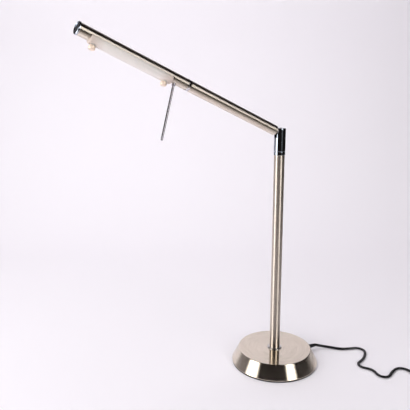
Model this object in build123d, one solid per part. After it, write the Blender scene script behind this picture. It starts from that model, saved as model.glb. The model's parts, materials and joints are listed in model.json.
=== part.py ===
from build123d import *
import os
from math import cos, pi, radians, sin, tan

# Adjustable desk lamp. Millimetres and degrees, +Z up. The origin is the middle of the base's underside,
# and the arm reaches out along -X in the XZ plane.

# Base: a spun cover over a cast weight, closed by a plate and standing on a pad.
BASE_R = 80.0
BASE_TOP_R = 67.4
BASE_TOP = 27.5
LIP_BOTTOM = 2.3
LIP_TOP = 3.4
COVER_SHEET = 1.2
PAD_TOP = 2.2
PLATE_TOP = 3.3
WEIGHT_TOP = 23.5
SCREW_CIRCLE = 52.0
TRANSFORMER_SIZE = (40.0, 50.0, 15.0)
TRANSFORMER_X = 38.0

# Post: a tube clamped to the base by a threaded stem, with a swivel bush in its top end.
POST_R = 9.5
POST_BORE = 8.5
POST_TOP = 392.8
COLLAR_R = 13.5
COLLAR_TOP = 29.3
STEM_R = 5.0
STEM_BORE = 3.2
BUSH_TOP = 398.7

# Knuckle: a round bar with a fork slot, turning on the post. The arm's tongue is pinned in the slot.
KNUCKLE_R = 10.2
KNUCKLE_BOTTOM = 399.0
KNUCKLE_TOP = 439.5
SLOT_FLOOR = 423.0
SLOT_WIDTH = 6.8
PIVOT_Z = 430.8
PIVOT_R = 2.5
TONGUE_THICK = 5.6
TONGUE_R = 5.8

# Arm and head: distances along the tube are from the pivot.
ARM_RISE = 22.5
HEAD_ROLL = 11.0
TUBE_R = 8.5
TUBE_BORE = 7.7
ARM_START = 14.6
ARM_END = 205.0
RING_END = 210.0
RING_R = 8.9
JOURNAL_R = 6.5
HEAD_START = 210.3
HEAD_END = 387.0
CAP_R = 9.2
CAP_END = 389.5
WINDOW_START = 236.0
WINDOW_END = 371.0
WINDOW_DEPTH = 1.9
GLASS_HALF_WIDTH = 8.3
GLASS_DEPTH = 12.1
GLASS_WALL = 1.8
GLASS_END_R = 3.0
NUT_PLACES = (248.0, 363.5)
NUT_R = 4.75
NUT_START = 12.5
NUT_END = 18.3
STUD_R = 1.5
ROD_PLACE = 231.0
ROD_R = 1.75
ROD_END = TUBE_R + 87.5
FERRULE_R = 2.9
FERRULE_END = 11.6

# Cord: thin two-core flex from the rear of the base to an in-line switch, a tied coil and a plug.
CORD_R = 2.1
GLAND_Z = 9.0
GLAND_TURN = -10.0
GLAND_END = 97.0
CORD_ROUTE = [
    (119.5, -34.5, 4.0),
    (133.0, -50.5, 2.2),
    (149.0, -59.5, 2.2),
    (165.5, -65.5, 2.2),
    (167.5, -84.0, 2.2),
    (146.0, -97.5, 2.2),
    (123.0, -101.5, 2.2),
    (104.0, -105.5, 2.2),
    (101.5, -122.5, 2.2),
    (115.5, -140.0, 2.2),
    (107.5, -160.0, 2.2),
    (119.5, -171.5, 2.2),
    (140.0, -163.5, 2.2),
    (161.0, -156.5, 2.2),
    (172.5, -171.5, 2.2),
    (164.8, -189.5, 4.6),
    (163.0, -199.0, 6.5),
    (163.0, -205.0, 6.5),
]
SWITCH_X = 163.0
SWITCH_Y = -237.0
SWITCH_LENGTH = 52.0
SWITCH_WIDTH = 24.0
SWITCH_TOP = 14.0
SWITCH_SPLIT = 7.0
SWITCH_NUB = 6.0
CORD_SWITCH_Z = 6.5
ROCKER_LEAN = 6.0
ROCKER_AXIS_Z = 10.5
COIL_OUTER = 36.8
COIL_STEP = 5.6
COIL_HALF_TURNS = 7
COIL_LIFT = 4.8
COIL_Z = 3.3
COIL_Y = -296.0
COIL_X = SWITCH_X + COIL_OUTER
PLUG_X = COIL_X + COIL_OUTER + COIL_STEP
PLUG_Y = -268.0
PLUG_Z = 7.1

# Frames of the arm and of the rolled head: Z runs out along the tube and X points down across it.
RISE = radians(ARM_RISE)
ROLL = radians(HEAD_ROLL)
PIVOT = (0, 0, PIVOT_Z)
OUT = (-cos(RISE), 0, sin(RISE))
ARM = Plane(origin=PIVOT, x_dir=(-sin(RISE), 0, -cos(RISE)), z_dir=OUT)
HEAD = Plane(origin=PIVOT, x_dir=(-sin(RISE) * cos(ROLL), -sin(ROLL), -cos(RISE) * cos(ROLL)), z_dir=OUT)
STANDING = (Align.CENTER, Align.CENTER, Align.MIN)
BELOW = (Align.MIN, Align.CENTER, Align.MIN)


def rod(radius, low, high):
    """A round bar along Z."""
    return Pos(0, 0, low) * Cylinder(radius, high - low, align=STANDING)


def pipe(outer, inner, low, high):
    """A round tube along Z."""
    return rod(outer, low, high) - rod(inner, low, high)


def turned(*outline):
    """A turned piece: a closed outline of (radius, height) points spun about Z."""
    face = make_face(Polyline(*[(r, 0, z) for r, z in outline], close=True))
    return revolve(face, Axis.Z)


def cross_rod(radius, start, end, place):
    """A round bar along the head's down axis, at a place along the tube."""
    return Pos(start, 0, place) * Rot(0, 90, 0) * Cylinder(radius, end - start, align=STANDING)


def rim(part, place=-1):
    """One of a turned piece's round edges, counted upwards."""
    return part.edges().filter_by(GeomType.CIRCLE).sort_by(Axis.Z)[place]


def base_cone(inset=0.0):
    """The base's outer form, or the same form inset by a sheet's thickness."""
    slant = inset * 1.1
    return turned(
        (0, LIP_BOTTOM),
        (BASE_R - inset, LIP_BOTTOM),
        (BASE_R - inset, LIP_TOP),
        (BASE_TOP_R - slant, BASE_TOP - inset),
        (0, BASE_TOP - inset),
    )


def gland_axis(part):
    """Lays a piece turned about Z along the gland's axis, with its Z as the distance from the post."""
    return Rot(0, 0, GLAND_TURN) * Pos(0, 0, GLAND_Z) * Rot(0, 90, 0) * part


def base_cover():
    """Spun cover with a rounded top edge, a short upright lip, and holes for the stem and the gland."""
    outside = base_cone()
    outside = fillet(rim(outside), 1.4)
    shell = outside - base_cone(COVER_SHEET)
    return shell - rod(STEM_R + 0.1, 20, 30) - gland_axis(rod(4.05, 60, 90))


def base_weight():
    """Cast disc with a boss under the cover, a pocket for the transformer and tapped holes."""
    disc = turned(
        (0, PLATE_TOP),
        (72, PLATE_TOP),
        (64, WEIGHT_TOP),
        (14, WEIGHT_TOP),
        (13, BASE_TOP - COVER_SHEET),
        (0, BASE_TOP - COVER_SHEET),
    )
    length, width, _ = TRANSFORMER_SIZE
    pocket = Pos(TRANSFORMER_X, 0, 0) * Box(length + 3, width + 3, 60)
    cable_way = Pos(66, -11, PLATE_TOP) * Box(40, 14, 18, align=STANDING)
    holes = PolarLocations(SCREW_CIRCLE, 3, start_angle=60) * Cylinder(2.02, 40)
    return disc - pocket - cable_way - rod(STEM_R + 0.1, 0, 30) - rod(11, 0, 14) - holes


def base_plate():
    """Sheet steel disc that closes the base, with clearance holes for its screws."""
    holes = PolarLocations(SCREW_CIRCLE, 3, start_angle=60) * Cylinder(2.15, 20)
    return rod(78.4, PAD_TOP, PLATE_TOP) - holes


def foot_pad():
    """Felt-faced pad under the whole base, with holes round the screw heads."""
    holes = PolarLocations(SCREW_CIRCLE, 3, start_angle=60) * Cylinder(4.5, 20)
    return rod(79.4, 0, PAD_TOP) - holes


def base_screws():
    """Pan-head screws that hold the plate to the weight."""
    screw = turned((0, 0.7), (2.6, 0.7), (3.6, 1.5), (3.6, PAD_TOP), (2.0, PAD_TOP), (2.0, 13), (0, 13))
    return Part() + [place * screw for place in PolarLocations(SCREW_CIRCLE, 3, start_angle=60)]


def transformer():
    """Sealed low-voltage transformer lying in the weight's pocket."""
    length, width, height = TRANSFORMER_SIZE
    block = Pos(TRANSFORMER_X, 0, PLATE_TOP) * Box(length, width, height, align=STANDING)
    return fillet(block.edges().filter_by(Axis.Z), 4)


def stem_nut():
    """Hexagon nut that clamps the base to the post from below."""
    return extrude(Pos(0, 0, 7) * RegularPolygon(8.6, 6), 5.8) - rod(STEM_R + 0.02, 0, 20)


def post_collar():
    """Thin bevelled ring that covers the joint between the post and the base."""
    inner = POST_R + 0.05
    return turned(
        (inner, BASE_TOP),
        (COLLAR_R, BASE_TOP),
        (COLLAR_R, BASE_TOP + 0.7),
        (COLLAR_R - 1.1, COLLAR_TOP),
        (inner, COLLAR_TOP),
    )


def swivel_bush():
    """Turned bush: a spigot in the post's end, the ring that shows above it, and the swivel's bore."""
    bore = STEM_R + 0.05
    return turned(
        (bore, 366),
        (POST_BORE - 0.03, 366),
        (POST_BORE - 0.03, POST_TOP),
        (KNUCKLE_R, POST_TOP),
        (KNUCKLE_R, BUSH_TOP - 0.5),
        (KNUCKLE_R - 0.5, BUSH_TOP),
        (bore, BUSH_TOP),
    )


def pivot_axis(part):
    """Lays a piece turned about Z along the pivot, with its Z towards +Y and its seam off the fork's."""
    return Pos(0, 0, PIVOT_Z) * Rot(-90, 0, 0) * Rot(0, 0, 40) * part


def knuckle():
    """Forked bar with a hollow swivel stem below it, a countersunk pivot hole and softened edges."""
    bar = rod(KNUCKLE_R, KNUCKLE_BOTTOM, KNUCKLE_TOP)
    bar = fillet(rim(bar), 0.8)
    bar = chamfer(rim(bar, 0), 0.5)
    slot = Pos(0, 0, SLOT_FLOOR) * Box(40, SLOT_WIDTH, 40, align=STANDING)
    stem = rod(STEM_R, 357, KNUCKLE_BOTTOM)
    hole_r = PIVOT_R + 0.02
    pivot_hole = turned((0, -9), (hole_r, -9), (hole_r, 7.4), (hole_r + 4, 11.4), (0, 11.4))
    return bar + stem - slot - rod(STEM_BORE, 350, SLOT_FLOOR) - pivot_axis(pivot_hole)


def swivel_nut():
    """Round nut on the swivel stem, inside the post, with two key slots across its underside."""
    return pipe(7.6, STEM_R + 0.02, 358.5, 364) - Pos(0, 0, 358.5) * Box(30, 2, 3)


def pivot_screw():
    """Countersunk screw through the fork, with its driver slot at the head's end."""
    screw = turned((0, -8.8), (PIVOT_R, -8.8), (PIVOT_R, 7.4), (PIVOT_R + 2, 9.4), (0, 9.4))
    return pivot_axis(screw - Pos(0, 0, 9.4) * Box(20, 1, 2))


def friction_washers():
    """Two washers between the tongue and the fork's cheeks."""
    inner, outer = TONGUE_THICK / 2, SLOT_WIDTH / 2 - 0.08
    washer = pipe(5.5, PIVOT_R + 0.06, inner, outer)
    return Part() + [pivot_axis(washer), pivot_axis(Rot(180, 0, 0) * washer)]


def arm_plug():
    """Turned plug in the arm's end, milled to a flat tongue with a round eye for the pivot."""
    plug = rod(TUBE_BORE - 0.03, ARM_START, 38) + rod(TUBE_R, ARM_START - 1, ARM_START)
    eye = Rot(90, 0, 0) * Cylinder(TONGUE_R, TONGUE_THICK)
    strap = Box(2 * TONGUE_R, TONGUE_THICK, ARM_START, align=STANDING)
    pivot_hole = Rot(90, 0, 0) * Cylinder(PIVOT_R + 0.06, 40)
    return ARM * (plug + eye + strap - pivot_hole - rod(2.4, 20, 50))


def head_sleeve():
    """Turned sleeve fixed in the arm: the bright ring that shows, and the journal the head rolls on."""
    bore = 3.4
    return ARM * turned(
        (bore, 188),
        (TUBE_BORE - 0.03, 188),
        (TUBE_BORE - 0.03, ARM_END),
        (RING_R - 0.4, ARM_END),
        (RING_R, ARM_END + 0.4),
        (RING_R, RING_END - 0.4),
        (RING_R - 0.4, RING_END),
        (JOURNAL_R, RING_END),
        (JOURNAL_R, 228.2),
        (bore, 228.2),
    )


def head_clip():
    """Spring ring on the journal's end that keeps the head on the arm."""
    ring = pipe(7.3, JOURNAL_R + 0.02, 226.6, 227.6)
    return ARM * (ring - Pos(7, 0, 227) * Box(4, 3, 4))


def head_tube():
    """Tube with its underside cut away for the glass, and a hole for the handle."""
    length = WINDOW_END - WINDOW_START
    window = Pos(WINDOW_DEPTH, 0, WINDOW_START) * Box(30, 40, length, align=BELOW)
    tube = pipe(TUBE_R, TUBE_BORE, HEAD_START, HEAD_END)
    return HEAD * (tube - window - cross_rod(ROD_R + 0.05, 0, 20, ROD_PLACE))


def end_cap():
    """Turned plug with a bevelled rim and a slightly sunk face, closing the head's outer end."""
    plug = turned(
        (0, HEAD_END - 10),
        (TUBE_BORE - 0.03, HEAD_END - 10),
        (TUBE_BORE - 0.03, HEAD_END),
        (CAP_R, HEAD_END),
        (CAP_R, CAP_END - 0.8),
        (CAP_R - 0.8, CAP_END),
        (CAP_R - 1.8, CAP_END),
        (CAP_R - 2.2, CAP_END - 0.6),
        (0, CAP_END - 0.6),
    )
    return HEAD * plug


def reflector():
    """Bright sheet trough lining the top of the head, holed for the studs."""
    trough = pipe(7.5, 7.1, WINDOW_START + 2, WINDOW_END - 2)
    trough = trough - Pos(0.8, 0, WINDOW_START) * Box(30, 40, 200, align=BELOW)
    for place in NUT_PLACES:
        trough = trough - cross_rod(STUD_R + 0.1, -10, 0, place)
    return HEAD * trough


def mirrored_along(part):
    """A piece and its mirror image about the middle of the window."""
    middle = (WINDOW_START + WINDOW_END) / 2
    return [part, mirror(part, Plane(origin=(0, 0, middle), z_dir=(0, 0, 1)))]


def lamp_sockets():
    """Two ceramic lampholders, each with a pair of contact holes facing the middle."""
    block = Pos(0, 0, 251) * Box(10, 10, 13, align=STANDING)
    block = fillet(block.edges().filter_by(Axis.Z), 2)
    for side in (-2, 2):
        block = block - Pos(0, side, 260) * Cylinder(0.55, 10, align=STANDING)
    return HEAD * (Part() + mirrored_along(block))


def capsule_lamps():
    """Two small halogen capsules: pinched neck, round bulb and a pair of pins."""
    bulb = turned((0, 264.2), (2.6, 264.2), (3.0, 270), (4.4, 273), (4.4, 285), (2.6, 289), (0, 290))
    pins = [Pos(0, side, 260.5) * Cylinder(0.45, 5, align=STANDING) for side in (-2, 2)]
    lamp = bulb + pins
    return HEAD * (Part() + mirrored_along(lamp))


def trough_form(half_width, top, start, end, rounding):
    """A solid with the glass's section: upright sides, a half-round bottom and rounded ends."""
    centre = GLASS_DEPTH - GLASS_HALF_WIDTH
    outline = Polyline((centre, -half_width), (top, -half_width), (top, half_width), (centre, half_width))
    bottom = ThreePointArc((centre, half_width), (centre + half_width, 0), (centre, -half_width))
    form = extrude(Pos(0, 0, start) * make_face(outline + bottom), end - start)
    ends = [edge for face in form.faces().filter_by(Axis.Z) for edge in face.edges()]
    return fillet([edge for edge in ends if edge.center().X > top + 0.1], rounding)


def glass_trough():
    """Frosted glass trough that fills the cut-away underside, with closed ends and two stud holes."""
    start, end = WINDOW_START + 0.4, WINDOW_END - 0.4
    outside = trough_form(GLASS_HALF_WIDTH, WINDOW_DEPTH + 0.2, start, end, GLASS_END_R)
    inner_r = GLASS_END_R - GLASS_WALL
    inside = trough_form(GLASS_HALF_WIDTH - GLASS_WALL, 0, start + GLASS_WALL, end - GLASS_WALL, inner_r)
    glass = outside - inside
    for place in NUT_PLACES:
        glass = glass - cross_rod(STUD_R + 0.4, 5, 20, place)
    return HEAD * glass


def glass_studs():
    """Two studs fixed in the roof of the head, reaching down through the glass."""
    studs = []
    for place in NUT_PLACES:
        flange = cross_rod(3, -6.3, -5.3, place)
        studs.append(cross_rod(STUD_R, -7.5, NUT_END - 1.6, place) + flange)
    return HEAD * (Part() + studs)


def glass_washers():
    """Two soft washers shaped to the round of the glass."""
    outside = trough_form(GLASS_HALF_WIDTH + 0.05, 0, WINDOW_START, WINDOW_END, GLASS_END_R)
    washers = []
    for place in NUT_PLACES:
        washer = cross_rod(3.8, 11, NUT_START, place) - cross_rod(STUD_R + 0.05, 5, 20, place)
        washers.append(washer - outside)
    return HEAD * (Part() + washers)


def thumb_nuts():
    """Two closed round nuts with bevelled rims and a stepped shoulder, turned by hand to free the glass."""
    bore = STUD_R + 0.03
    nut = turned(
        (bore, NUT_START),
        (NUT_R - 1.2, NUT_START),
        (NUT_R - 1.2, NUT_START + 1.0),
        (NUT_R, NUT_START + 1.4),
        (NUT_R, NUT_END - 0.9),
        (NUT_R - 0.9, NUT_END),
        (0, NUT_END),
        (0, NUT_END - 1.4),
        (bore, NUT_END - 1.4),
    )
    return HEAD * (Part() + [Pos(0, 0, place) * Rot(0, 90, 0) * nut for place in NUT_PLACES])


def handle_rod():
    """Thin rod with a rounded tip, screwed into the head for rolling it."""
    bar = cross_rod(ROD_R, 7, ROD_END, ROD_PLACE)
    return HEAD * fillet(bar.edges().sort_by(Axis.X)[-1], 1.2)


def handle_ferrule():
    """Small bright collar that locks the handle against the tube."""
    collar = cross_rod(FERRULE_R, 5, FERRULE_END, ROD_PLACE)
    collar = fillet(collar.edges().sort_by(Axis.X)[-1], 0.7)
    collar = collar - cross_rod(ROD_R + 0.03, 0, 20, ROD_PLACE)
    return HEAD * (collar - rod(TUBE_R + 0.03, 200, 260))


def cord_gland():
    """Tapered strain relief through the rear of the cover, with a flange trimmed to the cone."""
    sleeve = turned(
        (0, 68),
        (4.9, 68),
        (4.9, 70),
        (4.0, 70),
        (4.0, 75),
        (5.4, 75),
        (5.4, 80.5),
        (4.0, 82),
        (2.7, GLAND_END),
        (0, GLAND_END),
    )
    sleeve = gland_axis(sleeve)
    shell = base_cone(-0.02) - base_cone(COVER_SHEET + 0.02) - gland_axis(rod(4.05, 60, 90))
    return (sleeve - shell).solids().sort_by(SortBy.VOLUME)[-1]


def cord_path(route):
    """The route's straight runs joined by tangent arcs, each as large as its runs allow."""
    points = [Vector(*p) for p in route]
    radii = []
    for before, here, after in zip(points, points[1:], points[2:]):
        turn = radians((here - before).get_angle(after - here))
        shorter = min((here - before).length, (after - here).length)
        radii.append(0.45 * shorter / tan(turn / 2))
    print("cord radii", [round(r, 1) for r in radii])
    return FilletPolyline(*route, radius=radii)


def cord_tube(path):
    """A round tube of the cord's size along a path."""
    start = Plane(origin=path @ 0, z_dir=path % 0)
    tube = sweep(start * Circle(CORD_R), path)
    share = tube.volume / (pi * CORD_R**2 * path.length)
    print("cord length", round(path.length, 1), "volume share", round(share, 4))
    return tube


def cord_lamp():
    """The stretch from the base to the in-line switch, straight at first along the gland's axis."""
    turn = radians(GLAND_TURN)
    straight = [(r * cos(turn), r * sin(turn), GLAND_Z) for r in (GLAND_END, GLAND_END + 10)]
    return cord_tube(cord_path(straight + CORD_ROUTE))


def cord_link():
    """The short stretch from the switch down to the coil."""
    exit_y = SWITCH_Y - SWITCH_LENGTH / 2 - SWITCH_NUB
    entry_y = COIL_Y + 2 * CORD_R
    return cord_tube(
        cord_path(
            [
                (SWITCH_X, exit_y, CORD_SWITCH_Z),
                (SWITCH_X, exit_y - 6, CORD_SWITCH_Z),
                (SWITCH_X, entry_y + 6.5, COIL_Z),
                (SWITCH_X, entry_y, COIL_Z),
            ]
        )
    )


def cord_tail():
    """The short stretch from the coil's upper layer to the plug."""
    start_y = COIL_Y + 2 * CORD_R
    top = COIL_Z + COIL_LIFT
    return cord_tube(
        cord_path(
            [
                (PLUG_X, start_y, top),
                (PLUG_X, start_y + 7, top),
                (PLUG_X, PLUG_Y - 7, PLUG_Z),
                (PLUG_X, PLUG_Y, PLUG_Z),
            ]
        )
    )


def coil_path():
    """Half circles that spiral in, climb one layer in a half turn, and spiral out again."""
    straight = Vector(0, 2 * CORD_R, 0)
    here = Vector(SWITCH_X, COIL_Y, COIL_Z)
    edges = [Line(here + straight, here)]
    inner = COIL_OUTER - (COIL_HALF_TURNS - 1) * COIL_STEP / 2
    inward = [COIL_OUTER - k * COIL_STEP / 2 for k in range(COIL_HALF_TURNS)]
    outward = [inner + k * COIL_STEP / 2 for k in range(COIL_HALF_TURNS)]
    climb = [inner - COIL_STEP / 2]
    for k, radius in enumerate(inward + climb + outward):
        side = 1 if k % 2 == 0 else -1
        rise = COIL_LIFT if k == COIL_HALF_TURNS else 0
        there = here + Vector(2 * radius * side, 0, rise)
        middle = (here + there) * 0.5 - Vector(0, (here - there).length / 2 * side, 0)
        edges.append(ThreePointArc(here, middle, there))
        here = there
    edges.append(Line(here, here + straight))
    return Wire(edges)


def least_gap(path, radius):
    """The least clear distance between a wound tube's turns, measured on points along its middle."""
    count = int(path.length / 3)
    points = [path @ (k / count) for k in range(count + 1)]
    apart = int(40 / 3)
    return min(
        (points[i] - points[j]).length - 2 * radius
        for i in range(count + 1)
        for j in range(i + apart, count + 1)
    )


def cord_coil():
    """The put-away length, wound in two layers as one unbroken tube."""
    path = coil_path()
    print("coil least gap", round(least_gap(path, CORD_R), 2))
    return cord_tube(path)


def cord_tie():
    """Strap round the coil's turns."""
    inner = COIL_OUTER - (COIL_HALF_TURNS - 1) * COIL_STEP / 2
    half, room = 4.0, 0.3
    near = (inner**2 - (COIL_STEP / 2 + half) ** 2) ** 0.5 - CORD_R - room
    far = COIL_OUTER + CORD_R + room
    height = COIL_LIFT + 2 * (CORD_R + room)
    middle = (COIL_X + COIL_STEP / 2, COIL_Y - (near + far) / 2, COIL_Z + COIL_LIFT / 2)
    section = Plane(origin=middle, x_dir=(0, 1, 0), z_dir=(1, 0, 0))
    outside = RectangleRounded(far - near + 1.6, height + 1.6, 1.8)
    strap = outside - RectangleRounded(far - near, height, 1.0)
    return extrude(section * strap, half, both=True)


def switch_form(low, high, inset=0.0):
    """The in-line switch's rounded plan between two heights."""
    plan = SlotOverall(SWITCH_LENGTH - 2 * inset, SWITCH_WIDTH - 2 * inset, rotation=90)
    return extrude(Pos(SWITCH_X, SWITCH_Y, low) * plan, high - low)


def across_switch(part):
    """Lays a piece turned about Z along the rocker's pivot."""
    return Pos(SWITCH_X, SWITCH_Y, ROCKER_AXIS_Z) * Rot(0, 90, 0) * part


def along_switch(part):
    """Lays a piece turned about Z along the cord's way through the switch."""
    return Pos(SWITCH_X, SWITCH_Y, CORD_SWITCH_Z) * Rot(-90, 0, 0) * part


def switch_base():
    """Lower half of the in-line switch: an open tray with a cord sleeve at each end."""
    tray = switch_form(0, SWITCH_SPLIT)
    tray = fillet(tray.faces().sort_by(Axis.Z)[0].edges(), 2.5)
    tray = tray - switch_form(1.8, SWITCH_SPLIT, 1.8)
    half = SWITCH_LENGTH / 2
    sleeve = turned((0, half - 2.6), (5.2, half - 2.6), (4.2, half + SWITCH_NUB), (0, half + SWITCH_NUB))
    for turn in (0, 180):
        tray = tray + along_switch(Rot(turn, 0, 0) * sleeve)
    return tray


def switch_top():
    """Upper half of the in-line switch, with the rocker's window and two lugs for its pivot."""
    low = SWITCH_SPLIT + 0.1
    lid = switch_form(low, SWITCH_TOP)
    lid = fillet(lid.faces().sort_by(Axis.Z)[-1].edges(), 3)
    lid = lid - switch_form(low, SWITCH_TOP - 1.8, 1.8)
    window = Pos(SWITCH_X, SWITCH_Y, SWITCH_TOP) * Box(10.4, 20, 10)
    half = SWITCH_LENGTH / 2
    sleeve = turned((0, half - 3), (5.3, half - 3), (4.3, half + SWITCH_NUB), (0, half + SWITCH_NUB))
    lid = lid - window
    for turn in (0, 180):
        lid = lid - along_switch(Rot(turn, 0, 0) * sleeve)
    for side in (-1, 1):
        lug = Pos(SWITCH_X + side * 6.5, SWITCH_Y, 8.6) * Box(2, 5, 3.7, align=STANDING)
        lid = lid + lug
    return lid - across_switch(Cylinder(1.26, 40))


def switch_rocker():
    """Rocker with a dished top and two short trunnions, leaning to its off side."""
    body = Pos(0, 0, -2.5) * Box(9.6, 18.6, 7.5, align=STANDING)
    dish = Pos(0, 0, 44.2) * Rot(0, 90, 0) * Cylinder(40, 40)
    body = body - dish
    body = body + Rot(0, 90, 0) * Cylinder(1.2, 14.6)
    return Pos(SWITCH_X, SWITCH_Y, ROCKER_AXIS_Z) * Rot(ROCKER_LEAN, 0, 0) * body


def switch_contacts():
    """Contact block on the floor of the switch."""
    block = Pos(SWITCH_X, SWITCH_Y, 1.8) * Box(11, 30, 4.4, align=STANDING)
    return block - Pos(SWITCH_X, SWITCH_Y, 6.2) * Box(4, 40, 2.4)


def plug_place(part):
    """Puts a piece made at the plug's cord entry, pointing along +Y, where the plug lies."""
    return Pos(PLUG_X, PLUG_Y, PLUG_Z) * part


def plug_body():
    """Flat moulded two-pin plug: a waisted grip, a front shoulder and a tapered strain relief."""
    front, back = 60.0, 24.0
    side = [(5.5, back), (8.5, back + 5), (9.5, back + 16), (16.5, front - 6), (17.5, front)]
    other_side = [(-x, y) for x, y in reversed(side)]
    plan = make_face(Polyline(*side, *other_side, close=True))
    body = extrude(Pos(0, 0, -7) * plan, 14)
    flat_edges = body.faces().sort_by(Axis.Z)
    body = fillet(flat_edges[0].edges() + flat_edges[-1].edges(), 2)
    relief = Rot(-90, 0, 0) * turned((0, 0), (2.9, 0), (4.6, back + 2), (0, back + 2))
    return plug_place(body + relief)


def plug_pins():
    """Two round pins with rounded tips."""
    pin = turned((0, 60), (2, 60), (2, 78), (1.2, 79), (0, 79))
    return plug_place(Part() + [Pos(side, 0, 0) * Rot(-90, 0, 0) * pin for side in (-9.25, 9.25)])


def nodes():
    """Every piece of the lamp by its node's name."""
    return {
        "base_cover": base_cover(),
        "base_weight": base_weight(),
        "base_plate": base_plate(),
        "foot_pad": foot_pad(),
        "base_screws": base_screws(),
        "transformer": transformer(),
        "stem_tube": pipe(STEM_R, STEM_BORE, 6, 48),
        "stem_nut": stem_nut(),
        "stem_washer": pipe(10, STEM_R + 0.1, 12.8, 14),
        "post_foot": pipe(POST_BORE - 0.03, STEM_R + 0.02, BASE_TOP, 46),
        "post_collar": post_collar(),
        "post_tube": pipe(POST_R, POST_BORE, BASE_TOP, POST_TOP),
        "post_cable": rod(2.2, 18, 355),
        "swivel_bush": swivel_bush(),
        "knuckle": knuckle(),
        "swivel_washer": pipe(7.6, STEM_R + 0.02, 364, 365.7),
        "swivel_nut": swivel_nut(),
        "pivot_screw": pivot_screw(),
        "friction_washers": friction_washers(),
        "arm_plug": arm_plug(),
        "arm_tube": ARM * pipe(TUBE_R, TUBE_BORE, ARM_START, ARM_END),
        "arm_cable": ARM * rod(2.0, 22, 240),
        "head_sleeve": head_sleeve(),
        "head_clip": head_clip(),
        "head_bush": HEAD * pipe(TUBE_BORE - 0.03, JOURNAL_R + 0.05, HEAD_START + 0.2, 226.2),
        "head_tube": head_tube(),
        "end_cap": end_cap(),
        "reflector": reflector(),
        "lamp_sockets": lamp_sockets(),
        "capsule_lamps": capsule_lamps(),
        "glass_trough": glass_trough(),
        "glass_studs": glass_studs(),
        "glass_washers": glass_washers(),
        "thumb_nuts": thumb_nuts(),
        "handle_rod": handle_rod(),
        "handle_ferrule": handle_ferrule(),
        "cord_gland": cord_gland(),
        "cord_lamp": cord_lamp(),
        "switch_base": switch_base(),
        "switch_top": switch_top(),
        "switch_rocker": switch_rocker(),
        "switch_contacts": switch_contacts(),
        "cord_link": cord_link(),
        "cord_coil": cord_coil(),
        "cord_tie": cord_tie(),
        "cord_tail": cord_tail(),
        "plug_body": plug_body(),
        "plug_pins": plug_pins(),
    }


os.makedirs("parts", exist_ok=True)
for name, part in nodes().items():
    export_step(part, f"parts/{name}.step")
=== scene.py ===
import json
from math import cos, pi, radians, sin, sqrt, tan, tau

import bmesh
import bpy
from mathutils import Matrix, Vector


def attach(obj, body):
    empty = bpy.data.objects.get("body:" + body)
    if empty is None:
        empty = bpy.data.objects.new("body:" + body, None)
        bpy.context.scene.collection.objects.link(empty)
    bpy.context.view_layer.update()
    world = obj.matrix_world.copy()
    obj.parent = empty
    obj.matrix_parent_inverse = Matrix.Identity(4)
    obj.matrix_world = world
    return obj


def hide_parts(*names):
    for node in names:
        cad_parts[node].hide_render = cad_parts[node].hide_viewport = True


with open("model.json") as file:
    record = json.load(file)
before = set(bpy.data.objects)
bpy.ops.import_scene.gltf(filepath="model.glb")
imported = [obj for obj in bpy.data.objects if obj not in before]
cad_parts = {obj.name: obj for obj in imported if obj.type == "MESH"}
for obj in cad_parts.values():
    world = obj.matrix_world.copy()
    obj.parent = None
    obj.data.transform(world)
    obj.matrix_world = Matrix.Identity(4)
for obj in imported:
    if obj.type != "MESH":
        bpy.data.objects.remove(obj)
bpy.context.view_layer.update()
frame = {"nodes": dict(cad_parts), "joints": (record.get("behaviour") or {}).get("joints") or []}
nodes = frame["nodes"]
joints = {joint["name"]: joint for joint in frame["joints"]}
scene = bpy.context.scene
MM = 0.001


# The view: the photograph was taken from a little above the arm, at about a metre, with a normal lens.
# The lamp stands with its arm reaching to the left and towards the camera.
FOCAL_PIXELS = 504.8
PHOTO_PIXELS = 410
EYE = Vector((-0.6204, -0.6411, 0.4928))
SIGHT = Vector((0.5698, 0.7947, -0.2094)).normalized()
LEVEL = Vector((0.8120, -0.5836, -0.0053)).normalized()

lens = bpy.data.cameras.new("photo_camera")
lens.sensor_width = 36
lens.lens = FOCAL_PIXELS / PHOTO_PIXELS * lens.sensor_width
camera = bpy.data.objects.new("photo_camera", lens)
upright = LEVEL.cross(SIGHT)
camera.matrix_world = Matrix.Translation(EYE) @ Matrix((LEVEL, upright, -SIGHT)).transposed().to_4x4()
scene.collection.objects.link(camera)
scene.camera = camera
scene.view_settings.view_transform = "Standard"


# The studio: white paper on a table, swept up behind the lamp, and two tall soft lights in a dim room.
# Metal that faces the camera mirrors that room, so cards that only metal sees stand for it.
AWAY = Vector((SIGHT.x, SIGHT.y, 0)).normalized()
RIGHT = Vector((AWAY.y, -AWAY.x, 0))
UP = Vector((0, 0, 1))
PAPER_AHEAD = 3.4
PAPER_FRONT = -0.30
PAPER_BACK = 1.45
PAPER_TOP = 1.8
PAPER_BEND = 0.80
PAPER_HALF_WIDTH = 1.5
ROOM_HALF_WIDTH = 3
ROOM_FRONT = -3.7
ROOM_BACK = 1.2
ROOM_RADIUS = 6


def colour(code):
    """An sRGB hex colour as the linear colour that a shader takes."""
    parts = [int(code[k : k + 2], 16) / 255 for k in (1, 3, 5)]
    return [c / 12.92 if c <= 0.04045 else ((c + 0.055) / 1.055) ** 2.4 for c in parts] + [1.0]


def add(tree, kind, inputs=None, **settings):
    """Adds a node, with its settings, and with values or other nodes' sockets on its inputs."""
    node = tree.nodes.new(kind)
    for name, value in settings.items():
        setattr(node, name, value)
    for name, value in (inputs or {}).items():
        if isinstance(value, bpy.types.NodeSocket):
            tree.links.new(value, node.inputs[name])
        else:
            node.inputs[name].default_value = value
    return node


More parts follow.
